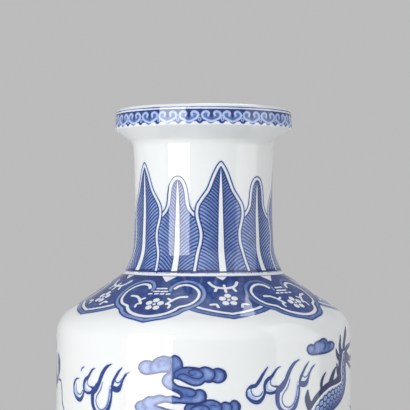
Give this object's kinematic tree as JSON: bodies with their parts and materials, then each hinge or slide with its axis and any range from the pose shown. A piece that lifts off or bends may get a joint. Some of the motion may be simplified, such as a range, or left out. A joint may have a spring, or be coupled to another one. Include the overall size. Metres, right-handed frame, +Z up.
{
  "type": "rouleau vase",
  "caption": "Tall porcelain rouleau vase with a straight body, sloping shoulder, waisted neck and dished mouth, hollow and free-standing on a foot ring.",
  "frame": {"origin": "centre of the foot ring's resting face, on the standing surface", "axes": "+Z up the axis of turning, towards the mouth; -Y faces the viewer of the picture"},
  "size_m": [0.196, 0.196, 0.46],
  "materials": {
    "porcelain": "white glaze over underglaze blue painting, glossy",
    "biscuit": "unglazed, wiped and lightly burnt orange in the firing",
    "slip": "fired slip under the glaze"
  },
  "bodies": {
    "root": {"foot_ring": "biscuit", "foot_slip_joint": "slip", "floor_slab": "porcelain", "floor_slip_joint": "slip", "lower_body": "porcelain", "body_slip_joint": "slip", "upper_body": "porcelain", "shoulder_slip_joint": "slip", "shoulder": "porcelain", "neck_slip_joint": "slip", "neck": "porcelain", "mouth_slip_joint": "slip", "mouth": "porcelain"}
  },
  "joints": []
}
